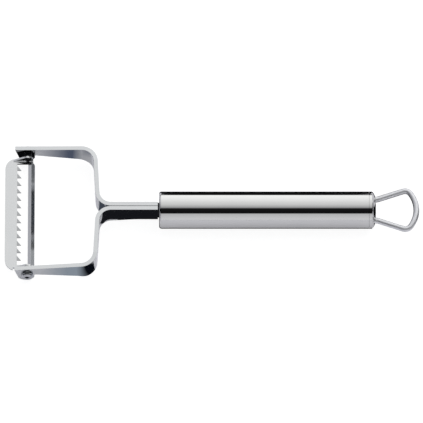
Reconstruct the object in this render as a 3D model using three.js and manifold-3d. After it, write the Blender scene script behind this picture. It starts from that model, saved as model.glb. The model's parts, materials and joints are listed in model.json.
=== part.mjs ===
// Julienne peeler: a hollow round handle, a forked head of two bent strips and a swivelling toothed blade.
// Millimetres. The peeler lies on a table: +X runs from the blade to the hanging loop, +Z is up, and
// the origin is below the middle of its length, at table height.

import * as THREE from 'three';
import { mergeVertices } from 'three/addons/utils/BufferGeometryUtils.js';
import Module from 'manifold-3d';

const wasm = await Module();
wasm.setup();

// Driving dimensions

// Handle
const HANDLE_LENGTH = 101.6;
const HANDLE_RADIUS = 9;
const HANDLE_WALL = 1.2;
const RIM_ROUND = 1;

// Caps that close the handle
const CAP_GAP = 0.1;
const FRONT_CAP_LENGTH = 6;
const FRONT_CAP_RECESS = 0.5;
const REAR_CAP_LENGTH = 3.3;
const REAR_CAP_PLUG = 7;
const SHOULDER_DROP = 3.8;
const SHOULDER_LENGTH = 1.8;
const SHOULDER_FULLNESS = 0.45;

// Bent strips of the head
const STRIP_THICKNESS = 2;
const STRIP_WIDTH = 11.1;
const STRIP_SEAM = 0.2;
const STRIP_LOW_SET = 0.45;
const TANG_LENGTH = 30;
const TANG_WIDTH = 8;
const TANG_GAP = 0.2;
const NECK_LENGTH = 23.3;
const NECK_STANDOFF = 0.6;
const SPLIT_RADIUS = 5.6;
const BACK_SLANT = THREE.MathUtils.degToRad(3);
const CORNER_RADIUS = 6.2;
const YOKE_INNER_WIDTH = 60.4;
const ARM_SPLAY = THREE.MathUtils.degToRad(1.6);
const TAPER_START = 10;
const ARM_END_BOTTOM = 5.7;
const EAR_TIP_HEIGHT = 11.2;
const EAR_TIP_REACH = 6.1;
const EAR_LOBE_RADIUS = 3.3;

// Pivots
const PIVOT_REACH = 40.5;
const PIVOT_HEIGHT = 5.8;
const PIN_RADIUS = 1;
const PIN_GAP = 0.2;
const PIN_COLLAR_RADIUS = 1.9;
const PIN_COLLAR_LENGTH = 1.3;
const PIN_HEAD_RADIUS = 2.9;
const PIN_HEAD_HEIGHT = 1.5;
const PIN_HEAD_ROUND = 0.7;
const PIN_DIMPLE_RADIUS = 1.2;
const PIN_DIMPLE_DEPTH = 0.9;
const PIN_TAIL = 0.6;

// Blade
const BLADE_SHEET = 0.9;
const BLADE_DROP = 1.6;
const BLADE_OVERHANG = 0.5;
const BLADE_FRONT_REACH = 10.9;
const BLADE_REAR_REACH = 3.4;
const FRONT_CORNER_RADIUS = 5.5;
const REAR_CORNER_RADIUS = 1.6;
const BLADE_EAR_RADIUS = 2.6;
const BLADE_EAR_FOOT = 7;
const BLADE_BEND_RADIUS = 0.5;
const SLOT_FRONT_REACH = 5.1;
const SLOT_REAR_REACH = 0.2;
const SLOT_END_LAND = 0.3;
const RIDGE_REACH = 1.75;
const EDGE_TILT = THREE.MathUtils.degToRad(12);
const FLANGE_TILT = THREE.MathUtils.degToRad(40);
const TOOTH_PITCH = 4;
const TOOTH_ROW_SHIFT = 0.8;
const TOOTH_LENGTH = 2;
const TOOTH_WIDTH = 2.3;
const TOOTH_ROOT = 0.6;
const TOOTH_SET = THREE.MathUtils.degToRad(13);

// Hanging loop
const WIRE_RADIUS = 1.4;
const LOOP_REACH = 21.05;
const LOOP_LEG_INSET = 2.1;
const LOOP_LEG_DEPTH = 6;
const LOOP_LEG_ANGLE = THREE.MathUtils.degToRad(19.2);
const LOOP_KNEE_RADIUS = 4;
const LOOP_CORNER_RADIUS = 3.2;
const LOOP_END_RADIUS = 15;

// Fineness of the round faces
const ROUND_STEPS = 64;
const HOLE_STEPS = 24;
const ARC_STEPS = 8;
const WIRE_SIDES = 12;
const WIRE_STEPS = 84;

// Places worked out from the driving dimensions

const HEAD_LENGTH = NECK_LENGTH + PIVOT_REACH + BLADE_FRONT_REACH;
const TAIL_LENGTH = HANDLE_LENGTH + REAR_CAP_LENGTH + LOOP_REACH;
const HANDLE_FRONT_X = (HEAD_LENGTH - TAIL_LENGTH) / 2;
const HANDLE_REAR_X = HANDLE_FRONT_X + HANDLE_LENGTH;
const REAR_FACE_X = HANDLE_REAR_X + REAR_CAP_LENGTH;
const AXIS_Z = HANDLE_RADIUS;
const TUBE_BORE = HANDLE_RADIUS - HANDLE_WALL;
const PLUG_RADIUS = TUBE_BORE - CAP_GAP;
const LOOP_LEG_OFFSET = PLUG_RADIUS - LOOP_LEG_INSET;

const TANG_END_X = HANDLE_FRONT_X + TANG_LENGTH;
const SPLIT_X = HANDLE_FRONT_X - NECK_LENGTH;
const STRIP_TOP = AXIS_Z - STRIP_LOW_SET + STRIP_WIDTH / 2;
const STRIP_BOTTOM = STRIP_TOP - STRIP_WIDTH;
const PIVOT_X = SPLIT_X - PIVOT_REACH;
const EAR_TIP_X = PIVOT_X - EAR_TIP_REACH;

// The middle line of the right strip, from the neck through the split, the slanted back and the corner.
const NECK_Y = (STRIP_SEAM + STRIP_THICKNESS) / 2;
const SPLIT_BEND = SPLIT_RADIUS + STRIP_THICKNESS / 2;
const CORNER_BEND = CORNER_RADIUS + STRIP_THICKNESS / 2;
const BACK_START_Y = NECK_Y + SPLIT_BEND * (1 - Math.sin(BACK_SLANT));
const CORNER_Y = YOKE_INNER_WIDTH / 2 - CORNER_RADIUS * Math.cos(ARM_SPLAY);
const BACK_END_Y = CORNER_Y + CORNER_BEND * Math.sin(BACK_SLANT);
const BACK_LENGTH = (BACK_END_Y - BACK_START_Y) / Math.cos(BACK_SLANT);
const BACK_END_X = SPLIT_X - SPLIT_BEND * Math.cos(BACK_SLANT) - BACK_LENGTH * Math.sin(BACK_SLANT);
const CORNER_X = BACK_END_X - CORNER_BEND * Math.cos(BACK_SLANT);
const ARM_START_X = CORNER_X + CORNER_RADIUS * Math.sin(ARM_SPLAY);

// Half the distance between the arms' inner faces at a place along the tool, and between their outer faces.
const armInnerY = (x) => YOKE_INNER_WIDTH / 2 + (ARM_START_X - x) * Math.tan(ARM_SPLAY);
const armOuterY = (x) => armInnerY(x) + STRIP_THICKNESS / Math.cos(ARM_SPLAY);

const COLLAR_OUTER_Y = armInnerY(PIVOT_X + PIN_COLLAR_RADIUS) - CAP_GAP;
const COLLAR_INNER_Y = COLLAR_OUTER_Y - PIN_COLLAR_LENGTH;
const BLADE_EAR_OUTER_Y = COLLAR_INNER_Y - PIN_GAP;
const BLADE_EAR_INNER_Y = BLADE_EAR_OUTER_Y - BLADE_SHEET;
const BLADE_BEND_Y = BLADE_EAR_INNER_Y - BLADE_BEND_RADIUS;
const BLADE_END_Y = BLADE_EAR_OUTER_Y + BLADE_OVERHANG;
const BLADE_TOP = PIVOT_HEIGHT - BLADE_DROP;
const BLADE_UNDERSIDE = BLADE_TOP - BLADE_SHEET;
const SLOT_END_Y = BLADE_BEND_Y - SLOT_END_LAND;

// Helpers that make solids

const point = (x, y) => new THREE.Vector2(x, y);

function solidFromArrays(vertProperties, triVerts) {
  return new wasm.Manifold(new wasm.Mesh({ numProp: 3, vertProperties, triVerts }));
}

function solidOf(geometry) {
  geometry.deleteAttribute('normal');
  geometry.deleteAttribute('uv');
  const merged = mergeVertices(geometry, 1e-4);
  return solidFromArrays(
    Float32Array.from(merged.attributes.position.array),
    Uint32Array.from(merged.index.array),
  );
}

function geometryOf(solid) {
  const { vertProperties, triVerts } = solid.getMesh();
  const geometry = new THREE.BufferGeometry();
  geometry.setAttribute('position', new THREE.BufferAttribute(vertProperties, 3));
  geometry.setIndex(new THREE.BufferAttribute(triVerts, 1));
  geometry.computeVertexNormals();
  return geometry;
}

// The same solid on the other side of the tool, with its faces turned to point outwards again.
function mirroredAcross(solid) {
  const { vertProperties, triVerts } = solid.getMesh();
  const places = vertProperties.map((value, index) => (index % 3 === 1 ? -value : value));
  return solidFromArrays(places, triVerts.slice().reverse());
}

function extruded(shape, depth) {
  return new THREE.ExtrudeGeometry(shape, { depth, bevelEnabled: false, curveSegments: ARC_STEPS });
}

// A plan outline in X and Y, given thickness between two heights.
function fromPlan(shape, bottom, top) {
  return solidOf(extruded(shape, top - bottom).translate(0, 0, bottom));
}

// A side outline in X and Z, given width between two places across the tool.
function fromSide(shape, fromY, toY) {
  return solidOf(extruded(shape, toY - fromY).rotateX(Math.PI / 2).translate(0, toY, 0));
}

// An end outline in Y and Z, given length between two places along the tool.
function fromEnd(shape, fromX, toX) {
  const turn = new THREE.Matrix4().makeBasis(
    new THREE.Vector3(0, 1, 0),
    new THREE.Vector3(0, 0, 1),
    new THREE.Vector3(1, 0, 0),
  );
  return solidOf(extruded(shape, toX - fromX).applyMatrix4(turn).translate(fromX, 0, 0));
}

// A profile of radius against distance along the tool, revolved about the handle's axis.
function turnedAboutHandle(profile) {
  return solidOf(new THREE.LatheGeometry(profile, ROUND_STEPS).rotateZ(-Math.PI / 2).translate(0, 0, AXIS_Z));
}

function arcPoints(centreX, centreY, radius, from, to, steps = ARC_STEPS) {
  return Array.from({ length: steps + 1 }, (_, step) => {
    const angle = from + (to - from) * step / steps;
    return point(centreX + radius * Math.cos(angle), centreY + radius * Math.sin(angle));
  });
}

// The angle, about a circle's centre, at which a line from an outside place touches the circle.
// Side +1 touches it anticlockwise of the place, and -1 clockwise.
function touchAngle(place, centre, radius, side) {
  const away = place.clone().sub(centre);
  return away.angle() + side * Math.acos(radius / away.length());
}

// Handle and caps

function handleTube() {
  const rim = Math.min(RIM_ROUND, HANDLE_WALL - CAP_GAP);
  return turnedAboutHandle([
    point(TUBE_BORE, HANDLE_FRONT_X),
    ...arcPoints(HANDLE_RADIUS - rim, HANDLE_FRONT_X + rim, rim, -Math.PI / 2, 0),
    point(HANDLE_RADIUS, HANDLE_REAR_X),
    point(TUBE_BORE, HANDLE_REAR_X),
    point(TUBE_BORE, HANDLE_FRONT_X),
  ]);
}

function frontCap() {
  const frontX = HANDLE_FRONT_X + FRONT_CAP_RECESS;
  const plug = turnedAboutHandle([
    point(0, frontX),
    point(PLUG_RADIUS, frontX),
    point(PLUG_RADIUS, frontX + FRONT_CAP_LENGTH),
    point(0, frontX + FRONT_CAP_LENGTH),
  ]);
  const slotLength = 4 * FRONT_CAP_LENGTH;
  const slotWidth = 2 * STRIP_THICKNESS + STRIP_SEAM + 2 * TANG_GAP;
  const tangSlot = new THREE.BoxGeometry(slotLength, slotWidth, TANG_WIDTH + 2 * TANG_GAP);
  return plug.subtract(solidOf(tangSlot.translate(frontX, 0, AXIS_Z)));
}

// The cap carries on the tube's outer wall, then slopes over a full shoulder to a flat end face.
function rearCap() {
  const seatX = HANDLE_REAR_X + CAP_GAP;
  const shoulderFrom = point(HANDLE_RADIUS, REAR_FACE_X - SHOULDER_LENGTH);
  const shoulderTo = point(HANDLE_RADIUS - SHOULDER_DROP, REAR_FACE_X);
  const slope = shoulderFrom.clone().lerp(shoulderTo, 0.5);
  const fullest = slope.lerp(point(HANDLE_RADIUS, REAR_FACE_X), SHOULDER_FULLNESS);
  const shoulder = new THREE.QuadraticBezierCurve(shoulderFrom, fullest, shoulderTo);
  const cap = turnedAboutHandle([
    point(0, seatX - REAR_CAP_PLUG),
    point(PLUG_RADIUS, seatX - REAR_CAP_PLUG),
    point(PLUG_RADIUS, seatX),
    point(HANDLE_RADIUS, seatX),
    ...shoulder.getPoints(ARC_STEPS),
    point(0, REAR_FACE_X),
  ]);
  const legHole = (side) => {
    const hole = new THREE.CylinderGeometry(
      WIRE_RADIUS + CAP_GAP,
      WIRE_RADIUS + CAP_GAP,
      2 * (LOOP_LEG_DEPTH + CAP_GAP),
      HOLE_STEPS,
    );
    return solidOf(hole.rotateZ(Math.PI / 2).translate(REAR_FACE_X, side * LOOP_LEG_OFFSET, AXIS_Z));
  };
  return cap.subtract(legHole(-1)).subtract(legHole(1));
}

// Hanging loop

// Half of the wire's middle line, from the end of a leg inside the cap to the far end of the loop:
// a straight leg, a knee at the cap's face, a spreading straight, a tight corner and a wide end arc.
function halfLoop() {
  const knee = arcPoints(
    REAR_FACE_X,
    LOOP_LEG_OFFSET + LOOP_KNEE_RADIUS,
    LOOP_KNEE_RADIUS,
    -Math.PI / 2,
    -Math.PI / 2 + LOOP_LEG_ANGLE,
    2,
  );
  const along = point(Math.cos(LOOP_LEG_ANGLE), Math.sin(LOOP_LEG_ANGLE));
  const inwards = point(along.y, -along.x);
  const endCentre = point(REAR_FACE_X + LOOP_REACH - WIRE_RADIUS - LOOP_END_RADIUS, 0);

  // The corner's centre lies one corner radius inside both the leg and the end arc.
  const start = knee[knee.length - 1].clone().addScaledVector(inwards, LOOP_CORNER_RADIUS);
  const offset = start.clone().sub(endCentre);
  const half = offset.dot(along);
  const reach = (LOOP_END_RADIUS - LOOP_CORNER_RADIUS) ** 2 - offset.lengthSq();
  const corner = start.addScaledVector(along, -half + Math.sqrt(half * half + reach));
  const cornerFrom = Math.PI / 2 + LOOP_LEG_ANGLE;
  const cornerTo = corner.clone().sub(endCentre).angle();

  return [
    point(REAR_FACE_X - LOOP_LEG_DEPTH, LOOP_LEG_OFFSET),
    point(REAR_FACE_X - LOOP_LEG_DEPTH / 2, LOOP_LEG_OFFSET),
    ...knee,
    ...arcPoints(corner.x, corner.y, LOOP_CORNER_RADIUS, cornerFrom, cornerTo),
    ...arcPoints(endCentre.x, endCentre.y, LOOP_END_RADIUS, cornerTo, 0, ARC_STEPS / 2).slice(1),
  ];
}

function hangingLoop() {
  const half = halfLoop();
  const otherHalf = half.slice(0, -1).reverse().map(({ x, y }) => point(x, -y));
  const middleLine = [...half, ...otherHalf].map(({ x, y }) => new THREE.Vector3(x, y, AXIS_Z));
  const section = new THREE.Shape(arcPoints(0, 0, WIRE_RADIUS, 0, 2 * Math.PI, WIRE_SIDES));
  return solidOf(new THREE.ExtrudeGeometry(section, {
    steps: WIRE_STEPS,
    extrudePath: new THREE.CatmullRomCurve3(middleLine),
  }));
}

// Bent strips

// Walks straights and bends from a start and heading, and gives each place with its heading.
// A positive bend turns left.
function walk(start, heading, moves) {
  const places = [{ place: start, heading }];
  for (const { straight, bend, radius } of moves) {
    const steps = bend ? ARC_STEPS : 1;
    const turn = bend ? bend / steps : 0;
    const stride = bend ? 2 * radius * Math.sin(Math.abs(turn) / 2) : straight;
    for (let step = 0; step < steps; step += 1) {
      const last = places[places.length - 1];
      const way = last.heading + turn / 2;
      const place = last.place.clone().add(point(stride * Math.cos(way), stride * Math.sin(way)));
      places.push({ place, heading: last.heading + turn });
    }
  }
  return places;
}

// The plan outline of a strip whose middle follows a walk.
function stripOutline(places) {
  const edge = (side) => places.map(({ place, heading }) => point(
    place.x - side * Math.sin(heading) * STRIP_THICKNESS / 2,
    place.y + side * Math.cos(heading) * STRIP_THICKNESS / 2,
  ));
  return new THREE.Shape([...edge(-1), ...edge(1).reverse()]);
}

// Tang and neck, the split out to the yoke's back, the corner and the arm.
function rightStripPlan() {
  return stripOutline(walk(point(TANG_END_X, NECK_Y), Math.PI, [
    { straight: TANG_LENGTH + NECK_LENGTH },
    { bend: BACK_SLANT - Math.PI / 2, radius: SPLIT_BEND },
    { straight: BACK_LENGTH },
    { bend: Math.PI / 2 - BACK_SLANT - ARM_SPLAY, radius: CORNER_BEND },
    { straight: (ARM_START_X - EAR_TIP_X) / Math.cos(ARM_SPLAY) + STRIP_THICKNESS },
  ]));
}

// A narrow tang, even width along the neck and back, a taper along the arm, and an ear that hangs
// below its end.
function stripSide() {
  const neckX = HANDLE_FRONT_X - NECK_STANDOFF;
  const tip = point(EAR_TIP_X, EAR_TIP_HEIGHT);
  const lobe = point(PIVOT_X, EAR_LOBE_RADIUS);
  const lobeFrom = touchAngle(tip, lobe, EAR_LOBE_RADIUS, 1);
  return new THREE.Shape([
    point(TANG_END_X, AXIS_Z + TANG_WIDTH / 2),
    point(neckX, AXIS_Z + TANG_WIDTH / 2),
    point(neckX, STRIP_TOP),
    point(BACK_END_X + STRIP_THICKNESS, STRIP_TOP),
    tip,
    ...arcPoints(lobe.x, lobe.y, EAR_LOBE_RADIUS, lobeFrom, 2 * Math.PI, 2 * ARC_STEPS),
    point(PIVOT_X + EAR_LOBE_RADIUS, ARM_END_BOTTOM),
    point(BACK_END_X - TAPER_START, STRIP_BOTTOM),
    point(neckX, STRIP_BOTTOM),
    point(neckX, AXIS_Z - TANG_WIDTH / 2),
    point(TANG_END_X, AXIS_Z - TANG_WIDTH / 2),
  ]);
}

function rightArm() {
  const outerY = armOuterY(EAR_TIP_X) + STRIP_THICKNESS;
  const plan = fromPlan(rightStripPlan(), -STRIP_WIDTH, STRIP_TOP + STRIP_WIDTH);
  const strip = plan.intersect(fromSide(stripSide(), -STRIP_THICKNESS, outerY));
  return strip.subtract(rightPivotHole(PIN_RADIUS + CAP_GAP));
}

// Pivots

// A hole on the swivel axis, through the right arm's ear and the blade's right ear.
function rightPivotHole(radius) {
  const fromY = BLADE_BEND_Y;
  const toY = armOuterY(EAR_TIP_X) + STRIP_THICKNESS;
  const hole = new THREE.CylinderGeometry(radius, radius, toY - fromY, HOLE_STEPS);
  return solidOf(hole.translate(PIVOT_X, (fromY + toY) / 2, PIVOT_HEIGHT));
}

// The head lies on the arm's outer face, the collar spaces the blade from the arm, and the tail passes
// through the blade's ear. The closing punch leaves a round cup in the head.
function rightPivotPin() {
  const seatY = armOuterY(PIVOT_X - PIN_HEAD_RADIUS) + CAP_GAP;
  const tailY = BLADE_EAR_INNER_Y - PIN_TAIL;
  const faceY = seatY + PIN_HEAD_HEIGHT;
  const cupRadius = (PIN_DIMPLE_RADIUS ** 2 + PIN_DIMPLE_DEPTH ** 2) / (2 * PIN_DIMPLE_DEPTH);
  const cupY = faceY - PIN_DIMPLE_DEPTH + cupRadius;
  const cupRim = -Math.acos(PIN_DIMPLE_RADIUS / cupRadius);
  const profile = [
    point(0, tailY),
    point(PIN_RADIUS - PIN_GAP, tailY),
    point(PIN_RADIUS, tailY + PIN_GAP),
    point(PIN_RADIUS, COLLAR_INNER_Y),
    point(PIN_COLLAR_RADIUS, COLLAR_INNER_Y),
    point(PIN_COLLAR_RADIUS, COLLAR_OUTER_Y),
    point(PIN_RADIUS, COLLAR_OUTER_Y),
    point(PIN_RADIUS, seatY),
    point(PIN_HEAD_RADIUS, seatY),
    ...arcPoints(PIN_HEAD_RADIUS - PIN_HEAD_ROUND, faceY - PIN_HEAD_ROUND, PIN_HEAD_ROUND, 0, Math.PI / 2, 4),
    ...arcPoints(0, cupY, cupRadius, cupRim, -Math.PI / 2),
  ];
  return solidOf(new THREE.LatheGeometry(profile, HOLE_STEPS).translate(PIVOT_X, 0, PIVOT_HEIGHT));
}

// Blade

// The sheet seen from the end of the blade: a level front plate, then a ridge with a flange bent down.
function bladeSection() {
  const ridge = BLADE_TOP + (RIDGE_REACH - SLOT_REAR_REACH) * Math.tan(EDGE_TILT);
  const flangeEnd = ridge - (BLADE_REAR_REACH - RIDGE_REACH) * Math.tan(FLANGE_TILT);
  const flangeDrop = BLADE_SHEET / Math.cos(FLANGE_TILT);
  const ridgeDrop = (BLADE_SHEET + flangeDrop) / 2;
  return new THREE.Shape([
    point(PIVOT_X - BLADE_FRONT_REACH, BLADE_TOP),
    point(PIVOT_X - BLADE_FRONT_REACH, BLADE_UNDERSIDE),
    point(PIVOT_X + SLOT_REAR_REACH, BLADE_UNDERSIDE),
    point(PIVOT_X + RIDGE_REACH, ridge - ridgeDrop),
    point(PIVOT_X + BLADE_REAR_REACH, flangeEnd - flangeDrop),
    point(PIVOT_X + BLADE_REAR_REACH, flangeEnd),
    point(PIVOT_X + RIDGE_REACH, ridge),
    point(PIVOT_X + SLOT_REAR_REACH, BLADE_TOP),
  ]);
}

// The blade from above: rounded corners, and a step at each end where the ear bends up.
function bladePlan() {
  const frontX = PIVOT_X - BLADE_FRONT_REACH;
  const rearX = PIVOT_X + BLADE_REAR_REACH;
  const footX = PIVOT_X - BLADE_EAR_FOOT;
  const frontRound = FRONT_CORNER_RADIUS;
  const rearRound = REAR_CORNER_RADIUS;

  // The front corner's arc is cut short where the step comes before its end.
  const arcStart = Math.acos(Math.min(0, (footX - frontX) / frontRound - 1));
  const stepEnd = arcStart > Math.PI / 2 ? [] : [point(footX, BLADE_END_Y)];
  const half = [
    ...arcPoints(rearX - rearRound, BLADE_BEND_Y - rearRound, rearRound, 0, Math.PI / 2),
    point(footX, BLADE_BEND_Y),
    ...stepEnd,
    ...arcPoints(frontX + frontRound, BLADE_END_Y - frontRound, frontRound, arcStart, Math.PI),
  ];
  const otherHalf = half.slice().reverse().map(({ x, y }) => point(x, -y));
  const outline = new THREE.Shape([...half, ...otherHalf]);
  outline.holes.push(new THREE.Path([
    point(PIVOT_X - SLOT_FRONT_REACH, -SLOT_END_Y),
    point(PIVOT_X - SLOT_FRONT_REACH, SLOT_END_Y),
    point(PIVOT_X + SLOT_REAR_REACH, SLOT_END_Y),
    point(PIVOT_X + SLOT_REAR_REACH, -SLOT_END_Y),
  ]));
  return outline;
}

// An upturned end of the sheet: a bend, then a lobe round the pivot with a long sloping front.
function rightBladeEar() {
  const lobeTop = PIVOT_HEIGHT + BLADE_EAR_RADIUS;
  const bendZ = BLADE_TOP + BLADE_BEND_RADIUS;
  const overlapY = BLADE_BEND_Y - BLADE_SHEET;
  const bend = new THREE.Shape([
    point(overlapY, BLADE_TOP),
    point(overlapY, BLADE_UNDERSIDE),
    ...arcPoints(BLADE_BEND_Y, bendZ, BLADE_BEND_RADIUS + BLADE_SHEET, -Math.PI / 2, 0),
    point(BLADE_EAR_OUTER_Y, lobeTop),
    point(BLADE_EAR_INNER_Y, lobeTop),
    ...arcPoints(BLADE_BEND_Y, bendZ, BLADE_BEND_RADIUS, 0, -Math.PI / 2),
  ]);
  const foot = point(PIVOT_X - BLADE_EAR_FOOT, BLADE_TOP);
  const pivot = point(PIVOT_X, PIVOT_HEIGHT);
  const lobeFrom = touchAngle(foot, pivot, BLADE_EAR_RADIUS, -1);
  const rearX = PIVOT_X + BLADE_EAR_RADIUS;
  const lobe = new THREE.Shape([
    point(rearX, BLADE_UNDERSIDE),
    ...arcPoints(pivot.x, pivot.y, BLADE_EAR_RADIUS, 0, lobeFrom, 2 * ARC_STEPS),
    foot,
    point(foot.x, BLADE_UNDERSIDE),
  ]);
  return fromEnd(bend, foot.x, rearX).intersect(fromSide(lobe, 0, YOKE_INNER_WIDTH));
}

// One tooth: a right-angled point at the slot's front edge, with its square side bent down.
function tooth(middleY) {
  const rootX = PIVOT_X - SLOT_FRONT_REACH;
  const outline = new THREE.Shape([
    point(rootX - TOOTH_ROOT, -TOOTH_WIDTH),
    point(rootX + TOOTH_LENGTH, -TOOTH_WIDTH),
    point(rootX, 0),
    point(rootX - TOOTH_ROOT, 0),
  ]);
  const blank = extruded(outline, BLADE_SHEET).translate(0, 0, -BLADE_SHEET);
  return solidOf(blank.rotateX(TOOTH_SET).translate(0, middleY + TOOTH_WIDTH / 2, BLADE_TOP));
}

function blade() {
  const ear = rightBladeEar().subtract(rightPivotHole(PIN_RADIUS + PIN_GAP));
  const section = fromSide(bladeSection(), -YOKE_INNER_WIDTH, YOKE_INNER_WIDTH);
  const sheet = fromPlan(bladePlan(), -STRIP_WIDTH, STRIP_TOP).intersect(section);
  const gaps = Math.floor((2 * SLOT_END_Y - TOOTH_WIDTH - 2 * TOOTH_ROW_SHIFT) / TOOTH_PITCH);
  const toothY = (index) => TOOTH_ROW_SHIFT + (index - gaps / 2) * TOOTH_PITCH;
  const teeth = Array.from({ length: gaps + 1 }, (_, index) => tooth(toothY(index)));
  return [ear, mirroredAcross(ear), ...teeth].reduce((whole, piece) => whole.add(piece), sheet);
}

// The peeler

const polishedSteel = new THREE.MeshStandardMaterial({ color: 0xc9cbcd, roughness: 0.12, metalness: 1 });
const bladeSteel = new THREE.MeshStandardMaterial({ color: 0xd4d6d6, roughness: 0.22, metalness: 1 });
const plugSteel = new THREE.MeshStandardMaterial({ color: 0x8d9093, roughness: 0.4, metalness: 1 });

const arm = rightArm();
const pin = rightPivotPin();

const pieces = [
  ['handle_tube', handleTube(), polishedSteel],
  ['front_cap', frontCap(), plugSteel],
  ['rear_cap', rearCap(), polishedSteel],
  ['hanging_loop', hangingLoop(), polishedSteel],
  ['right_arm', arm, polishedSteel],
  ['left_arm', mirroredAcross(arm), polishedSteel],
  ['blade', blade(), bladeSteel],
  ['right_pivot_pin', pin, polishedSteel],
  ['left_pivot_pin', mirroredAcross(pin), polishedSteel],
];

const peeler = new THREE.Group();
for (const [name, solid, material] of pieces) {
  const mesh = new THREE.Mesh(geometryOf(solid), material);
  mesh.name = name;
  peeler.add(mesh);
}

export default peeler;
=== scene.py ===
# %% [markdown]
# A julienne peeler, dressed for its portrait
#
# The peeler is all steel: a hollow round handle, a fork bent from two flat strips, a toothed blade that
# swivels between the fork's ears, and a wire loop to hang it by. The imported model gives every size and
# place, in metres. This file keeps that frame fixed and models the surfaces that the eye meets on it.

# %% Load the frame
import json
import math

import bmesh
import bpy
from mathutils import Matrix, Vector


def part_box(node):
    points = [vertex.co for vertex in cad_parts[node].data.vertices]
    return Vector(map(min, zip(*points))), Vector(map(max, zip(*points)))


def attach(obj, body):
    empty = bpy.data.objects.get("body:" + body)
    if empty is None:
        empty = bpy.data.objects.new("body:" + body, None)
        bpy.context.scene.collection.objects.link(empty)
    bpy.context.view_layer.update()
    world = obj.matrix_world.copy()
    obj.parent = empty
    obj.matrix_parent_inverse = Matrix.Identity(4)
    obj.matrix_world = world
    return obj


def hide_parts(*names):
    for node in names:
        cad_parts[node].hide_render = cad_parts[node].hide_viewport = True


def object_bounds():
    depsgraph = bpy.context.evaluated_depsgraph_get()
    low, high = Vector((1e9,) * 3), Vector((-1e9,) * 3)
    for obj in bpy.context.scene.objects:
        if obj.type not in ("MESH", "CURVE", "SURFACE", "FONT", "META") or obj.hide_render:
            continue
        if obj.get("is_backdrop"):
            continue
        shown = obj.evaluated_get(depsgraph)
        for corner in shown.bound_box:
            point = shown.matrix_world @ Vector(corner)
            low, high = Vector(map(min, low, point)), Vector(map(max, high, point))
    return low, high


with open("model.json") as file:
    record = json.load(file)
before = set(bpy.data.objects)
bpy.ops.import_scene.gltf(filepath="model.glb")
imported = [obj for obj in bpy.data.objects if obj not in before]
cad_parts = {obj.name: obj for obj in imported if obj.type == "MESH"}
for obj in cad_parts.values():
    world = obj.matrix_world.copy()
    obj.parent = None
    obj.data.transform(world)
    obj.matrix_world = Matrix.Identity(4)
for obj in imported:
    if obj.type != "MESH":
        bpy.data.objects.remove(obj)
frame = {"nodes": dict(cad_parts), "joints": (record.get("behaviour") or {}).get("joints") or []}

CAD_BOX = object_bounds()
MM = 0.001
print("frame:", sorted(frame["nodes"]))

# %% [markdown]
# Places that the frame gives
#
# A box round a node gives the handle's axis and the strips' faces, and the joint gives the blade's pivot.
# Reading them here seats every piece below on the frame.

# %% Places
tube_low, tube_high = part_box("handle_tube")
_, cap_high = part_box("rear_cap")
loop_low, loop_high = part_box("hanging_loop")
arm_low, arm_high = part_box("right_arm")
pin_low, pin_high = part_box("right_pivot_pin")

AXIS_Z = (tube_low.z + tube_high.z) / 2
HANDLE_RADIUS = (tube_high.z - tube_low.z) / 2
PIVOT = Vector(frame["joints"][0]["pos_m"])
print("axis height", round(AXIS_Z / MM, 2), "mm, pivot", [round(value / MM, 2) for value in PIVOT], "mm")

# %% [markdown]
# Colour and node helpers
#
# Colours are written as they look on a screen, and one function turns them to the linear values that a
# shader mixes. One more function adds a node, so that a material reads as a list of what it does, and
# a third gives a ramp of colours its stops.

# %% Colour and node helpers
def linear(hex_colour):
    channels = [int(hex_colour[place:place + 2], 16) / 255 for place in (1, 3, 5)]
    return tuple(c / 12.92 if c <= 0.04045 else ((c + 0.055) / 1.055) ** 2.4 for c in channels) + (1,)


def add_node(tree, kind, inputs=None, **settings):
    """Adds a node, sets it up, and gives each input a value or a link from another node."""
    node = tree.nodes.new(kind)
    for name, value in settings.items():
        setattr(node, name, value)
    for socket, value in (inputs or {}).items():
        if isinstance(value, bpy.types.NodeSocket):
            tree.links.new(value, node.inputs[socket])
        else:
            node.inputs[socket].default_value = value
    return node


def set_stops(ramp, stops):
    """Gives a ramp its stops, each a place from 0 to 1 and a colour."""
    elements = ramp.color_ramp.elements
    while len(elements) < len(stops):
        elements.new(1.0)
    for element, (place, colour) in zip(elements, stops):
        element.position = place
        element.color = linear(colour)


print("mid grey in linear light:", round(linear("#808080")[0], 3))

# %% [markdown]
# Buffed stainless steel
#
# The handle, the strips and the pins were ground and then buffed on a cloth wheel until they mirror the
# room. The loop's wire stays as dull as its die left it, and the blade's sheet as its rolls did. Each
# finish has faint cloudy patches, and hair-fine lines along the direction of the work.
# So the colour is even, the roughness is low and drifts a little over centimetres, and a stretched noise
# draws the lines as a very small bump. Real lines are too fine to show in the picture, so these are some
# ten times as coarse. In the cups and on the shanks of the rivets and on the tangs, a dark steel paints
# the shade that falls in those recesses and in the gaps between the parts.

# %% Buffed stainless steel
CLOUD_SIZE = 14 * MM
CLOUD_DETAIL = 3
GLOSS_DRIFT = 0.3
LINE_DEPTH = 0.02 * MM
LINE_STRENGTH = 0.04
LINE_STRETCH = 25


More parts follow.
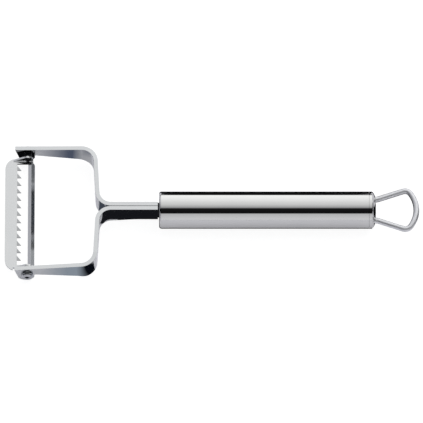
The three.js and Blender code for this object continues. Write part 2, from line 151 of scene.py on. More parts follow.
def steel(name, clear, cloudy, roughness, line_spacing, stretch):
    material = bpy.data.materials.new(name)
    material.use_nodes = True
    tree = material.node_tree
    tree.nodes.clear()
    place = add_node(tree, "ShaderNodeTexCoord").outputs["Object"]
    clouds = add_node(tree, "ShaderNodeTexNoise", {
        "Vector": place, "Scale": 1 / CLOUD_SIZE, "Detail": CLOUD_DETAIL,
    })
    tint = add_node(tree, "ShaderNodeValToRGB", {"Fac": clouds.outputs["Fac"]})
    set_stops(tint, [(0, clear), (1, cloudy)])
    gloss = add_node(tree, "ShaderNodeMapRange", {
        "Value": clouds.outputs["Fac"],
        "To Min": (1 - GLOSS_DRIFT) * roughness,
        "To Max": (1 + GLOSS_DRIFT) * roughness,
    })
    drawn = add_node(tree, "ShaderNodeMapping", {"Vector": place, "Scale": stretch})
    lines = add_node(tree, "ShaderNodeTexNoise", {
        "Vector": drawn.outputs[0], "Scale": 1 / line_spacing,
    })
    bump = add_node(tree, "ShaderNodeBump", {
        "Height": lines.outputs["Fac"], "Strength": LINE_STRENGTH, "Distance": LINE_DEPTH,
    })
    shader = add_node(tree, "ShaderNodeBsdfPrincipled", {
        "Base Color": tint.outputs["Color"],
        "Metallic": 1.0,
        "Roughness": gloss.outputs["Result"],
        "Normal": bump.outputs["Normal"],
    })
    add_node(tree, "ShaderNodeOutputMaterial", {"Surface": shader.outputs[0]})
    return material


LENGTHWAYS = (1 / LINE_STRETCH, 1, 1)
CROSSWAYS = (1, 1 / LINE_STRETCH, 1)
handle_steel = steel("buffed_stainless_tube", "#C7C7C5", "#C0C1C0", 0.05, 0.4 * MM, LENGTHWAYS)
strip_steel = steel("tumbled_stainless_strip", "#C6C8C8", "#C0C2C3", 0.06, 0.4 * MM, LENGTHWAYS)
wire_steel = steel("drawn_stainless_wire", "#D6D7D8", "#CECFD1", 0.46, 0.3 * MM, LENGTHWAYS)
sheet_steel = steel("rolled_stainless_sheet", "#C8C9C9", "#C2C4C4", 0.14, 0.3 * MM, CROSSWAYS)
rivet_steel = steel("polished_steel_rivet", "#B9BABD", "#ACAEB2", 0.06, 0.2 * MM, CROSSWAYS)
# The plug's darker grey is painted shade in the tube's recess. Its higher roughness is the turned finish.
plug_steel_shaded = steel("turned_plug_in_painted_shade", "#8A8D90", "#74777A", 0.32, 0.25 * MM, LENGTHWAYS)
# A dark steel that paints shade in recesses and gaps between parts, not a finish of its own.
shade_painted_steel = steel("dark_steel_painting_shade", "#2E2F33", "#1C1D20", 0.4, 0.25 * MM, LENGTHWAYS)
FINISHES = (handle_steel, strip_steel, wire_steel, sheet_steel, rivet_steel, plug_steel_shaded, shade_painted_steel)
print("finishes:", [finish.name for finish in FINISHES])

# %% [markdown]
# From a mesh to a finished piece
#
# Every piece ends the same way. Its doubles are merged and its faces turned outwards, its edges above an
# angle are marked sharp, and it rides on its body in place of the CAD node. Weighted normals keep the
# broad flats flat where they meet a small rounding, which is what makes a mirror finish look true.

# %% From a mesh to a finished piece
WELD = 0.002 * MM
SHARP = math.radians(40)


def finished(bm, name, material, node, body="frame", sharp=SHARP, in_shade=None):
    """Makes the piece. Faces that the shade test picks get the dark steel, which paints the shade in
    recesses and gaps.
    """
    bmesh.ops.remove_doubles(bm, verts=bm.verts, dist=WELD)
    bmesh.ops.recalc_face_normals(bm, faces=bm.faces)
    for edge in bm.edges:
        edge.smooth = edge.calc_face_angle(0) < sharp
    for face in bm.faces:
        face.smooth = True
        face.material_index = 1 if in_shade and in_shade(face.calc_center_median()) else 0
    mesh = bpy.data.meshes.new(name)
    bm.to_mesh(mesh)
    bm.free()
    mesh.materials.append(material)
    if in_shade:
        mesh.materials.append(shade_painted_steel)
    piece = bpy.data.objects.new(name, mesh)
    bpy.context.scene.collection.objects.link(piece)
    normals = piece.modifiers.new("flats_stay_flat", "WEIGHTED_NORMAL")
    normals.keep_sharp = True
    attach(piece, body)
    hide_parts(node)
    print(name, len(mesh.polygons), "faces")
    return piece


def round_edges(bm, radius, steps, sharper_than=SHARP):
    """Rounds every edge where two faces meet at more than an angle."""
    edges = [e for e in bm.edges if len(e.link_faces) == 2 and e.calc_face_angle() > sharper_than]
    bmesh.ops.bevel(
        bm, geom=edges, offset=radius, offset_type="OFFSET", affect="EDGES",
        segments=steps, profile=0.5, material=-1, clamp_overlap=True,
    )


def turned(profile, centre, axis, steps):
    """Spins a line of points once round an axis, as a lathe does."""
    bm = bmesh.new()
    verts = [bm.verts.new(place) for place in profile]
    edges = [bm.edges.new(pair) for pair in zip(verts, verts[1:])]
    bmesh.ops.spin(
        bm, geom=verts + edges, cent=centre, axis=axis, angle=2 * math.pi, steps=steps, use_merge=True,
    )
    bmesh.ops.remove_doubles(bm, verts=bm.verts, dist=WELD)
    return bm


print("edges over", round(math.degrees(SHARP)), "degrees stay sharp")

# %% [markdown]
# The handle
#
# The handle is a seamless tube, cut to length and rolled over a little at its front rim. A cylinder would
# do for the outside, but that rim shows the wall and the recess of the plug, so the wall is drawn as a
# closed rectangle and spun. The front rim is then rounded with a bevel.

# %% The handle
HANDLE_WALL = 1.2 * MM
HANDLE_BORE = HANDLE_RADIUS - HANDLE_WALL
RIM_ROUND = 1.1 * MM
RIM_STEPS = 6
ROUND_STEPS = 144
AXIS = Vector((0, 0, AXIS_Z))
ALONG = Vector((1, 0, 0))


def handle_place(x, radius):
    return (x, 0, AXIS_Z + radius)


def on_front_rim(vert):
    at_front = abs(vert.co.x - tube_low.x) < WELD
    return at_front and (vert.co.yz - AXIS.yz).length > HANDLE_RADIUS - WELD


def handle():
    wall = [
        handle_place(tube_low.x, HANDLE_BORE),
        handle_place(tube_low.x, HANDLE_RADIUS),
        handle_place(tube_high.x, HANDLE_RADIUS),
        handle_place(tube_high.x, HANDLE_BORE),
        handle_place(tube_low.x, HANDLE_BORE),
    ]
    bm = turned(wall, AXIS, ALONG, ROUND_STEPS)
    front = [edge for edge in bm.edges if all(on_front_rim(vert) for vert in edge.verts)]
    bmesh.ops.bevel(
        bm, geom=front, offset=RIM_ROUND, offset_type="OFFSET", affect="EDGES",
        segments=RIM_STEPS, profile=0.5, material=-1,
    )
    return finished(bm, "handle", handle_steel, "handle_tube")


handle()

# %% [markdown]
# The rear cap
#
# A turned plug closes the rear of the tube, with a sloping shoulder and a hole for each leg of the loop.
# The holes break through the edge of its face, which the solid already has right. So a copy of the solid
# is merged, its flat faces are joined again, and its sharp edges get a small rounding.

# %% The rear cap
FLAT = math.radians(1)
CAP_EDGE = 0.08 * MM
EDGE_STEPS = 2


def from_solid(node, edge):
    """A copy of a CAD node with its facets joined and its edges softened."""
    bm = bmesh.new()
    bm.from_mesh(frame["nodes"][node].data)
    bmesh.ops.remove_doubles(bm, verts=bm.verts, dist=WELD)
    bmesh.ops.dissolve_limit(bm, angle_limit=FLAT, verts=bm.verts, edges=bm.edges)
    round_edges(bm, edge, EDGE_STEPS)
    return bm


finished(from_solid("rear_cap", CAP_EDGE), "end_cap", handle_steel, "rear_cap")

# %% [markdown]
# The hanging loop
#
# The loop is one length of drawn wire. A curve with a round bevel could draw it, but its handles would
# have to be fitted by eye. A wire bender feeds the wire straight, then turns it round a post, and the
# mesh is made the same way: a circle is pushed along each straight and spun round each post, so that
# each bend has its true radius. Half of the loop is bent, from a leg to the middle of the end, and the
# other half is its mirror.

# %% The hanging loop
WIRE_SIDES = 28
WIRE_RADIUS = (loop_high.z - loop_low.z) / 2
SEAT_GAP = 0.1 * MM
LEG_INSET = 2.1 * MM
LEG_OFFSET = HANDLE_BORE - SEAT_GAP - LEG_INSET
KNEE_RADIUS = 4 * MM
LEG_ANGLE = math.radians(19.2)
CORNER_RADIUS = 3.2 * MM
END_RADIUS = 15 * MM
BEND_STEP = math.radians(4)


class WireBender:
    """A wire's end, its place and heading seen from above, and the two moves that a bender makes."""

    def __init__(self, place, radius):
        self.bm = bmesh.new()
        self.place, self.heading = place.copy(), 0.0
        facing_x = Matrix.Translation(place) @ Matrix.Rotation(math.pi / 2, 4, "Y")
        made = bmesh.ops.create_circle(
            self.bm, cap_ends=True, segments=WIRE_SIDES, radius=radius, matrix=facing_x,
        )
        self.end = list({edge for vert in made["verts"] for edge in vert.link_edges})

    def ahead(self):
        return Vector((math.cos(self.heading), math.sin(self.heading), 0))

    def left(self):
        return Vector((-math.sin(self.heading), math.cos(self.heading), 0))

    def feed(self, length):
        pushed = bmesh.ops.extrude_edge_only(self.bm, edges=self.end)["geom"]
        verts = [g for g in pushed if isinstance(g, bmesh.types.BMVert)]
        bmesh.ops.translate(self.bm, verts=verts, vec=self.ahead() * length)
        self.end = [g for g in pushed if isinstance(g, bmesh.types.BMEdge)]
        self.place += self.ahead() * length

    def bend(self, radius, angle):
        """A positive angle turns left."""
        post = self.place + self.left() * math.copysign(radius, angle)
        steps = max(2, math.ceil(abs(angle) / BEND_STEP))
        spun = bmesh.ops.spin(
            self.bm, geom=self.end, cent=post, axis=(0, 0, 1), angle=angle, steps=steps,
        )
        self.end = [g for g in spun["geom_last"] if isinstance(g, bmesh.types.BMEdge)]
        self.place = post + Matrix.Rotation(angle, 3, "Z") @ (self.place - post)
        self.heading += angle


def corner_post(start, ahead, right, end_centre):
    """Where the corner's post stands: one corner radius inside both the leg and the end arc."""
    inside = start + right * CORNER_RADIUS - end_centre
    along = inside.dot(ahead)
    reach = (END_RADIUS - CORNER_RADIUS) ** 2 - inside.length_squared
    return inside + end_centre + ahead * (math.sqrt(along * along + reach) - along)


def hanging_loop():
    wire = WireBender(Vector((loop_low.x, LEG_OFFSET, AXIS_Z)), WIRE_RADIUS)
    wire.feed(cap_high.x - loop_low.x)
    wire.bend(KNEE_RADIUS, LEG_ANGLE)
    end_centre = Vector((loop_high.x - WIRE_RADIUS - END_RADIUS, 0, AXIS_Z))
    post = corner_post(wire.place, wire.ahead(), -wire.left(), end_centre)
    wire.feed((post - wire.place).dot(wire.ahead()))
    to_post = post - end_centre
    end_angle = math.atan2(to_post.y, to_post.x)
    wire.bend(CORNER_RADIUS, -(wire.heading + math.pi / 2 - end_angle))
    wire.bend(END_RADIUS, -end_angle)
    bm = wire.bm
    bmesh.ops.mirror(bm, geom=bm.verts[:] + bm.edges[:] + bm.faces[:], merge_dist=WELD, axis="Y")
    return finished(bm, "hanging_wire", wire_steel, "hanging_loop")


hanging_loop()

# %% [markdown]
# The fork's strips
#
# Each half of the fork is one flat strip, stamped to its outline, tumbled until its edges are soft, and
# bent twice on a press. It is deepest along the back of the fork, and flares out from the neck and the
# arm to that depth. A profile swept along the bends would have one depth all the way, so the mesh follows
# the maker's steps: the outline is filled and given its thickness, its edges are rounded, it is sliced
# where it will bend, and every point is then carried to its place along the bent course. Bending the
# finished blank keeps the rounding even all the way round.

# %% The strip's course
STRIP = 2 * MM
SPLIT_RADIUS = 5.6 * MM
FORK_RADIUS = 6.2 * MM
NECK_LENGTH = 23.3 * MM
SLANT = math.radians(3)
SPLAY = math.radians(1.6)
FORK_WIDTH = 60.4 * MM
BEND_SLICES = 20

NECK_MIDDLE = arm_low.y + STRIP / 2
SPLIT_MIDDLE = SPLIT_RADIUS + STRIP / 2
FORK_MIDDLE = FORK_RADIUS + STRIP / 2
SPLIT_X = tube_low.x - NECK_LENGTH
back_start = NECK_MIDDLE + SPLIT_MIDDLE * (1 - math.sin(SLANT))
back_end = FORK_WIDTH / 2 - FORK_RADIUS * math.cos(SPLAY) + FORK_MIDDLE * math.sin(SLANT)

# Each move is a straight length, or a middle radius and an angle. A positive angle turns left.
COURSE = [
    (arm_high.x - SPLIT_X, 0),
    (SPLIT_MIDDLE, SLANT - math.pi / 2),
    ((back_end - back_start) / math.cos(SLANT), 0),
    (FORK_MIDDLE, math.pi / 2 - SLANT - SPLAY),
]


def run_of(move):
    size, angle = move
    return abs(size * angle) if angle else size


COURSE_ENDS = [sum(run_of(move) for move in COURSE[:count + 1]) for count in range(len(COURSE))]


def along_course(distance, side):
    """The place, seen from above, of a point at a distance along the strip and to the left of its middle."""
    place = Vector((arm_high.x, NECK_MIDDLE, 0))
    heading = math.pi
    left_to_go = distance
    for size, angle in COURSE:
        run = min(max(left_to_go, 0), run_of((size, angle)))
        if angle:
            turn = run / size * math.copysign(1, angle)
            post = place + Vector((-math.sin(heading), math.cos(heading), 0)) * math.copysign(size, angle)
            place = post + Matrix.Rotation(turn, 3, "Z") @ (place - post)
            heading += turn
        else:
            place = place + Vector((math.cos(heading), math.sin(heading), 0)) * run
        left_to_go -= run
    place = place + Vector((math.cos(heading), math.sin(heading), 0)) * left_to_go
    return place + Vector((-math.sin(heading), math.cos(heading), 0)) * side


arm_start = along_course(COURSE_ENDS[-1], 0)
back_x = along_course(COURSE_ENDS[2], 0).x
print("strip length to the arm", round(COURSE_ENDS[-1] / MM, 1), "mm")

# %% The strip's blank
STRIP_EDGE = 0.45 * MM
STRIP_EDGE_STEPS = 4
TANG_HALF = 4 * MM
NECK_STANDOFF = 0.6 * MM
TAPER_START = 10 * MM
ARM_END_BOTTOM = 5.7 * MM
STRIP_WIDTH = 11.1 * MM
BACK_DROP = 1.6 * MM
NECK_FLARE = 14 * MM
BEND_FLARE = 4 * MM
FLARE_STEPS = 12
EAR_TIP_HEIGHT = 11.2 * MM
EAR_LOBE = 4 * MM
LOBE_FORWARD = 0.45 * MM
LOBE_STEPS = 20
PIN_HOLE = 1.1 * MM
HOLE_STEPS = 32

strip_top = arm_high.z
strip_bottom = arm_high.z - STRIP_WIDTH
back_bottom = strip_bottom - BACK_DROP
neck_end = arm_high.x - (tube_low.x - NECK_STANDOFF)


def arm_distance(x):
    """How far along the blank a place on the straight arm lies."""
    return COURSE_ENDS[-1] + (arm_start.x - x) / math.cos(SPLAY)


def arc(centre, radius, start, end, steps):
    for step in range(steps + 1):
        angle = start + (end - start) * step / steps
        yield centre + radius * Vector((math.cos(angle), math.sin(angle), 0))


def closed_loop(bm, places):
    verts = [bm.verts.new(place) for place in places]
    return [bm.edges.new(pair) for pair in zip(verts, verts[1:] + verts[:1])]


def stamped(loops, thickness):
    """A flat sheet in X and Y, cut to its outline and holes, with its thickness upwards."""
    bm = bmesh.new()
    edges = [edge for places in loops for edge in closed_loop(bm, places)]
    bmesh.ops.triangle_fill(bm, use_beauty=True, use_dissolve=True, edges=edges, normal=(0, 0, 1))
    raised = bmesh.ops.extrude_face_region(bm, geom=bm.faces[:])["geom"]
    verts = [g for g in raised if isinstance(g, bmesh.types.BMVert)]
    bmesh.ops.translate(bm, verts=verts, vec=(0, 0, thickness))
    bmesh.ops.recalc_face_normals(bm, faces=bm.faces)
    return bm


def flare(start, end):
    """A gentle S from one corner of the outline to another, each a distance and a height."""
    for step in range(FLARE_STEPS + 1):
        share = step / FLARE_STEPS
        swing = (1 - math.cos(math.pi * share)) / 2
        height = start[1] + (end[1] - start[1]) * swing
        yield Vector((start[0] + (end[0] - start[0]) * share, height, 0))


def strip_outline():
    fall = (strip_top - EAR_TIP_HEIGHT) / (back_x + STRIP - arm_low.x)
    tip = Vector((arm_distance(arm_low.x), EAR_TIP_HEIGHT, 0))
    lobe = Vector((arm_distance(PIVOT.x - LOBE_FORWARD), EAR_LOBE, 0))
    away = tip - lobe
    touch = math.atan2(away.y, away.x) - math.acos(EAR_LOBE / away.length)
    taper = arm_distance(back_x - TAPER_START)
    return [
        Vector((0, AXIS_Z + TANG_HALF, 0)),
        Vector((neck_end, AXIS_Z + TANG_HALF, 0)),
        Vector((neck_end, strip_top, 0)),
        Vector((COURSE_ENDS[2], strip_top, 0)),
        Vector((COURSE_ENDS[3], strip_top - fall * (back_x + STRIP - arm_start.x), 0)),
        tip,
        *arc(lobe, EAR_LOBE, touch, -math.pi, LOBE_STEPS),
        Vector((lobe.x - EAR_LOBE, ARM_END_BOTTOM, 0)),
        *flare((taper, strip_bottom), (COURSE_ENDS[3] - BEND_FLARE, back_bottom)),
        *flare((COURSE_ENDS[0] + BEND_FLARE, back_bottom), (COURSE_ENDS[0] - NECK_FLARE, strip_bottom)),
        Vector((neck_end, strip_bottom, 0)),
        Vector((neck_end, AXIS_Z - TANG_HALF, 0)),
        Vector((0, AXIS_Z - TANG_HALF, 0)),
    ]


def strip_blank():
    pivot = Vector((arm_distance(PIVOT.x), PIVOT.z, 0))
    hole = list(arc(pivot, PIN_HOLE, 0, 2 * math.pi, HOLE_STEPS))[:-1]
    bm = stamped([strip_outline(), hole], STRIP)
    round_edges(bm, STRIP_EDGE, STRIP_EDGE_STEPS)
    slices = [neck_end]
    for bend in (1, 3):
        start, end = COURSE_ENDS[bend - 1], COURSE_ENDS[bend]
        slices += [start + (end - start) * number / BEND_SLICES for number in range(BEND_SLICES + 1)]
    for here in slices:
        geom = bm.verts[:] + bm.edges[:] + bm.faces[:]
        bmesh.ops.bisect_plane(bm, geom=geom, dist=WELD, plane_co=(here, 0, 0), plane_no=(1, 0, 0))
    return bm


print("strip depth at the back", round((strip_top - back_bottom) / MM, 1), "mm")

# %% Both strips
def strip(name, node, side):
    bm = strip_blank()
    for vert in bm.verts:
        distance, height, depth = vert.co
        place = along_course(distance, depth - STRIP / 2)
        vert.co = (place.x, side * place.y, height)
    # The tang gets the dark steel: painted shade in the gap where it enters the tube.
    tang = tube_low.x - NECK_STANDOFF - WELD
    return finished(
        bm, name, strip_steel, node, in_shade=lambda place: place.x > tang,
    )


strip("right_strip", "right_arm", 1)
strip("left_strip", "left_arm", -1)

# %% [markdown]
# The pivot pins
#
# Each pin is a shouldered rivet: a head on the outside of the ear, a collar that keeps the blade off the
# strip, and a tail that the blade turns on. Stacked cylinders would show their seams, so it is one profile
# spun about the pivot. The closing punch rounds the head's edge and leaves a cup in its middle.

# %% The pivot pins
PIN_RADIUS = 1 * MM
COLLAR_RADIUS = 1.9 * MM
COLLAR_LENGTH = 1.3 * MM
HEAD_HEIGHT = 1.5 * MM
HEAD_ROUND = 0.7 * MM
CUP_RADIUS = 1.2 * MM
CUP_DEPTH = 0.9 * MM
PIN_EDGE = 0.15 * MM
PIN_STEPS = 72
HEAD_STEPS = 6
CUP_STEPS = 10
HEAD_RADIUS = (pin_high.x - pin_low.x) / 2


def pin_profile():
    """Points with the distance from the pin's axis as X and the place along it as Y."""
    collar_out = along_course(arm_distance(PIVOT.x + COLLAR_RADIUS), STRIP / 2).y - SEAT_GAP
    shank = [
        (0, pin_low.y),
        (PIN_RADIUS, pin_low.y),
        (PIN_RADIUS, collar_out - COLLAR_LENGTH),
        (COLLAR_RADIUS, collar_out - COLLAR_LENGTH),
        (COLLAR_RADIUS, collar_out),
        (PIN_RADIUS, collar_out),
        (PIN_RADIUS, pin_high.y - HEAD_HEIGHT),
        (HEAD_RADIUS, pin_high.y - HEAD_HEIGHT),
    ]
    shoulder = Vector((HEAD_RADIUS - HEAD_ROUND, pin_high.y - HEAD_ROUND, 0))
    ball = (CUP_RADIUS ** 2 + CUP_DEPTH ** 2) / (2 * CUP_DEPTH)
    cup = Vector((0, pin_high.y - CUP_DEPTH + ball, 0))
    rim = -math.acos(CUP_RADIUS / ball)
    return [
        *(Vector((radius, place, 0)) for radius, place in shank),
        *arc(shoulder, HEAD_ROUND, 0, math.pi / 2, HEAD_STEPS),
        *arc(cup, ball, rim, -math.pi / 2, CUP_STEPS),
    ]


def pin(name, node, side):
    profile = [(PIVOT.x + point.x, side * point.y, PIVOT.z) for point in pin_profile()]
    bm = turned(profile, PIVOT, (0, 1, 0), PIN_STEPS)
    round_edges(bm, PIN_EDGE, EDGE_STEPS)
    head = pin_high.y - HEAD_HEIGHT - WELD

    # The cup and the shank below the head get the dark steel: painted shade in the cup and between the
    # parts.
    def in_shade(place):
        in_cup = (place.xz - PIVOT.xz).length < CUP_RADIUS - PIN_EDGE and abs(place.y) < pin_high.y - WELD
        return in_cup or abs(place.y) < head

    return finished(bm, name, rivet_steel, node, in_shade=in_shade)


pin("right_rivet", "right_pivot_pin", 1)
pin("left_rivet", "left_pivot_pin", -1)

# %% [markdown]
# The blade and the front plug
#
# The blade is stamped from sheet: a plate, a slot with a row of teeth in its front edge, a rear bar bent
# down behind a ridge, and an ear turned up at each end. The solid holds all of that, and so does the
# plug in the front of the tube. What the eye misses on both is the break of each edge, a line of light
# about a tenth of a millimetre wide, so both are copies of their solids with softened edges.

# %% The blade and the front plug
RIDGE_SHARP = math.radians(11.6)
BLADE_EDGE = 0.1 * MM
PLUG_EDGE = 0.15 * MM
toothed = from_solid("blade", BLADE_EDGE)
finished(toothed, "toothed_blade", sheet_steel, "blade", "blade", RIDGE_SHARP)
# The plug's darker steel paints the shade in the recess at the tube's mouth.
finished(from_solid("front_cap", PLUG_EDGE), "front_plug", plug_steel_shaded, "front_cap")

# %% [markdown]
# The studio
#
# Polished metal is a picture of the room round it, so the room is most of the look. The studio is a long
# soft light that starts low behind the peeler and fades towards the top, a dark gap where the camera
# stands, and a softer light in front. All of it runs along the handle, so it draws straight bands on it,
# and it is dimmer towards the blade's end of the room. Both end walls are dark.

# %% The room
# Each entry is an angle, from the floor behind the peeler over the top to the floor in front, and the
# colour of the room there.
ROOM = [
    (0, "#141416"),
    (6, "#141416"),
    (8, "#FFFFFF"),
    (25, "#FCFCFD"),
    (45, "#F1F1F2"),
    (65, "#DDDDDE"),
    (80, "#CFCFD0"),
    (92, "#B2B2B4"),
    (99, "#98989A"),
    (105, "#1A1A1B"),
    (134, "#0C0C0C"),
    (139, "#BABABC"),
    (160, "#C8C8CB"),
    (180, "#D0D0D4"),
]
ROOM_LIGHT = 1.6

# How far a direction points along the room, from -1 at the blade's end to 1 at the loop's end, and the
# share of the light that is left there.
ALONG_ROOM = [
    (-0.9, "#40444C"),
    (-0.84, "#D0D0D4"),
    (-0.6, "#D8D8DC"),
    (-0.36, "#BEBEC4"),
    (-0.17, "#FFFFFF"),
    (0.86, "#FFFFFF"),
    (0.92, "#202022"),
]


def room():
    world = bpy.data.worlds.new("studio_room")
    bpy.context.scene.world = world
    world.use_nodes = True
    tree = world.node_tree
    tree.nodes.clear()
    way = add_node(tree, "ShaderNodeTexCoord").outputs["Generated"]
    x, y, z = add_node(tree, "ShaderNodeSeparateXYZ", {0: way}).outputs
    angle = add_node(tree, "ShaderNodeMath", {0: z, 1: y}, operation="ARCTAN2").outputs[0]
    share = add_node(tree, "ShaderNodeMath", {0: angle, 1: math.pi}, operation="DIVIDE").outputs[0]
    over = add_node(tree, "ShaderNodeValToRGB", {"Fac": share})
    set_stops(over, [(degrees / 180, colour) for degrees, colour in ROOM])
    along = add_node(tree, "ShaderNodeMath", {0: x, 1: 0.5, 2: 0.5}, operation="MULTIPLY_ADD").outputs[0]
    fade = add_node(tree, "ShaderNodeValToRGB", {"Fac": along})
    set_stops(fade, [((place + 1) / 2, colour) for place, colour in ALONG_ROOM])
    colours = {0: over.outputs["Color"], 1: fade.outputs["Color"]}
    wall = add_node(tree, "ShaderNodeVectorMath", colours, operation="MULTIPLY")
    lit = add_node(tree, "ShaderNodeBackground", {"Color": wall.outputs[0], "Strength": ROOM_LIGHT})
    white = add_node(tree, "ShaderNodeBackground", {"Color": (1, 1, 1, 1), "Strength": 1.0})
    seen = add_node(tree, "ShaderNodeLightPath").outputs["Is Camera Ray"]
    both = add_node(tree, "ShaderNodeMixShader", {0: seen, 1: lit.outputs[0], 2: white.outputs[0]})
    add_node(tree, "ShaderNodeOutputWorld", {"Surface": both.outputs[0]})


room()
print("room:", len(ROOM), "steps of light over it and", len(ALONG_ROOM), "along it")

# %% [markdown]
# The floor and the cards
#
# The floor is white paper on a light table: it glows, and it still takes a faint shadow. The camera sees
# it brighter than the metal mirrors it. Glowing cards that only reflections see paint reflections of
# shade into the metal, dark and blue-grey, where the floor round the peeler lies in shade. A card
# under and behind the handle darkens its two long edges. Small cards do the same beside the neck and the
# tube's front rim, along the arms of the fork, under the blade and beyond the rear cap. At one corner of
# the fork a dark card lies on a pale one. The cards cast no shadow and the camera does not see them.

# %% The floor and the cards
FLOOR_SIZE = 6.0
HALF_FLOOR = FLOOR_SIZE / 2
# The colour and the glow of the paper, as the metal mirrors it and as the camera sees it.
PAPER_IN_METAL = ("#F4F3FB", 0.27)
PAPER_SEEN = ("#959595", 0.9)
CARD_HEIGHT = 0.2 * MM
ON_A_CARD = 2 * CARD_HEIGHT
CARD_FADE = 0.5 * MM


def flat_sheet(name, low, high, height, material):
    bm = bmesh.new()
    bmesh.ops.create_grid(bm, x_segments=1, y_segments=1, size=0.5)
    bmesh.ops.scale(bm, verts=bm.verts, vec=(high[0] - low[0], high[1] - low[1], 1))
    bmesh.ops.translate(bm, verts=bm.verts, vec=((high[0] + low[0]) / 2, (high[1] + low[1]) / 2, height))
    mesh = bpy.data.meshes.new(name)
    bm.to_mesh(mesh)
    bm.free()
    mesh.materials.append(material)
    sheet = bpy.data.objects.new(name, mesh)
    bpy.context.scene.collection.objects.link(sheet)
    sheet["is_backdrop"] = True
    return sheet


def stage_material(name):
    material = bpy.data.materials.new(name)
    material.use_nodes = True
    material.node_tree.nodes.clear()
    return material, material.node_tree


def floor():
    material, tree = stage_material("paper_on_a_light_table")
    path = add_node(tree, "ShaderNodeLightPath").outputs
    looks = []
    for colour, glow in (PAPER_IN_METAL, PAPER_SEEN):
        paper = add_node(tree, "ShaderNodeBsdfDiffuse", {"Color": linear(colour)})
        light = add_node(tree, "ShaderNodeEmission", {"Strength": glow})
        looks.append(add_node(tree, "ShaderNodeAddShader", {0: paper.outputs[0], 1: light.outputs[0]}))
    both = add_node(tree, "ShaderNodeMixShader", {
        0: path["Is Camera Ray"], 1: looks[0].outputs[0], 2: looks[1].outputs[0],
    })
    add_node(tree, "ShaderNodeOutputMaterial", {"Surface": both.outputs[0]})
    flat_sheet("floor", (-HALF_FLOOR, -HALF_FLOOR), (HALF_FLOOR, HALF_FLOOR), 0, material)


def painted_reflection_card(name, low, high, colour, fade_in=CARD_FADE, fade_out=CARD_FADE, height=CARD_HEIGHT):
    """A card on the floor, a glowing painted reflection that only the metal shows. Its paint fades in from
    its low X edge and out towards its high one.
    """
    material, tree = stage_material(name + "_paint")
    place = add_node(tree, "ShaderNodeTexCoord").outputs["Object"]
    x = add_node(tree, "ShaderNodeSeparateXYZ", {0: place}).outputs[0]
    rise = add_node(tree, "ShaderNodeMapRange", {
        "Value": x, "From Min": low[0], "From Max": low[0] + fade_in,
    })
    fall = add_node(tree, "ShaderNodeMapRange", {
        "Value": x, "From Min": high[0], "From Max": high[0] - fade_out,
    })
    cover = add_node(tree, "ShaderNodeMath", {0: rise.outputs[0], 1: fall.outputs[0]}, operation="MULTIPLY")
    clear = add_node(tree, "ShaderNodeBsdfTransparent")
    dark = add_node(tree, "ShaderNodeEmission", {"Color": linear(colour)})
    both = add_node(tree, "ShaderNodeMixShader", {
        0: cover.outputs[0], 1: clear.outputs[0], 2: dark.outputs[0],
    })
    add_node(tree, "ShaderNodeOutputMaterial", {"Surface": both.outputs[0]})
    sheet = flat_sheet(name, low, high, height, material)
    sheet.visible_camera = False
    sheet.visible_diffuse = False
    sheet.visible_transmission = False
    sheet.visible_shadow = False


floor()
cap_rim = cap_high.x - 1 * MM
end_card_end = cap_high.x + 6 * MM
band_end = 140 * MM
handle_side = 10 * MM
behind_handle = 60 * MM
neck_side = 3.4 * MM
before_fork, fork_side = -46 * MM, -28 * MM
behind_fork = 36 * MM
blade_card_end = -86 * MM
painted_reflection_card("handle_card", (tube_low.x, -10.2 * MM), (cap_rim, HALF_FLOOR), "#141416")
painted_reflection_card("end_card", (cap_rim, -6 * MM), (end_card_end, handle_side), "#202024")
painted_reflection_card("shoulder_card", (cap_rim, handle_side), (cap_high.x + 8 * MM, behind_handle), "#202024")
painted_reflection_card("rim_card", (tube_low.x - 8 * MM, handle_side), (tube_low.x, behind_handle), "#202024")
painted_reflection_card("band_card", (end_card_end, -4 * MM), (band_end, 9 * MM), "#0C0C0C")
painted_reflection_card("far_card", (band_end, -9 * MM), (260 * MM, 31 * MM), "#0C0C0C")
painted_reflection_card("neck_card", (SPLIT_X - 3.6 * MM, -9.5 * MM), (tube_low.x, -neck_side), "#1C1D22")
painted_reflection_card("gap_card", (SPLIT_X + 3 * MM, -neck_side), (tube_low.x, handle_side), "#0C0C10")
painted_reflection_card("split_card", (SPLIT_X - 12.5 * MM, -neck_side), (SPLIT_X - 3.5 * MM, neck_side), "#4C525E")
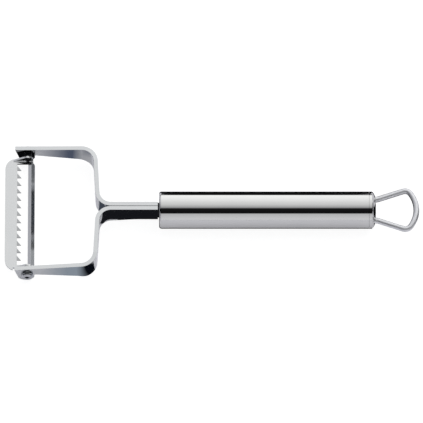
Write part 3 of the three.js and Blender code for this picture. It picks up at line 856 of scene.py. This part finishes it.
painted_reflection_card("side_card", (-83 * MM, before_fork), (-54 * MM, fork_side), "#A5AFBC", fade_in=13 * MM)
painted_reflection_card(
    "corner_card", (-65.4 * MM, before_fork), (-50 * MM, fork_side), "#0A0E16",
    fade_in=6.8 * MM, fade_out=3 * MM, height=ON_A_CARD,
)
painted_reflection_card(
    "arm_card", (blade_card_end, 20 * MM), (-63 * MM, behind_fork), "#5F677B",
    fade_in=16 * MM, fade_out=5 * MM,
)
painted_reflection_card("blade_card", (-99 * MM, -30 * MM), (blade_card_end, behind_fork), "#0C0C0F")
print("stage: a floor and its cards")

# %% [markdown]
# The camera
#
# The photograph looks down at the peeler from about 65 degrees, square to the handle, through a long lens:
# the blade's edges run almost parallel. A far camera with a long lens gives that flat perspective.

# %% The camera
ELEVATION = math.radians(65)
DISTANCE = 6.0
PIXEL = 0.4843 * MM
FRAME_PIXELS = 423
AIM_PIXELS = (-0.55, -1.35)
SENSOR = 36.0


def camera():
    back = Vector((0, -math.cos(ELEVATION), math.sin(ELEVATION)))
    up = Vector((0, math.sin(ELEVATION), math.cos(ELEVATION)))
    aim = AXIS + ALONG * AIM_PIXELS[0] * PIXEL + up * AIM_PIXELS[1] * PIXEL
    data = bpy.data.cameras.new("camera")
    data.sensor_width = SENSOR
    data.lens = SENSOR * DISTANCE / (FRAME_PIXELS * PIXEL)
    data.clip_end = 2 * DISTANCE
    eye = bpy.data.objects.new("camera", data)
    eye.location = aim + back * DISTANCE
    eye.rotation_mode = "QUATERNION"
    eye.rotation_quaternion = (-back).to_track_quat("-Z", "Y")
    bpy.context.scene.collection.objects.link(eye)
    bpy.context.scene.camera = eye
    bpy.context.scene.view_settings.view_transform = "Standard"


camera()
print("camera:", DISTANCE, "m away, lens", round(bpy.context.scene.camera.data.lens), "mm")

# %% [markdown]
# Sizes
#
# The box of the imported model and the box of the dressed one are kept side by side, and the dressed size is
# printed.

# %% Sizes, and the end
corners = {"cad": CAD_BOX, "visual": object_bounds()}
sizes = [round((high - low) / MM, 2) for low, high in zip(*corners["visual"])]
print("dressed size", sizes, "mm")
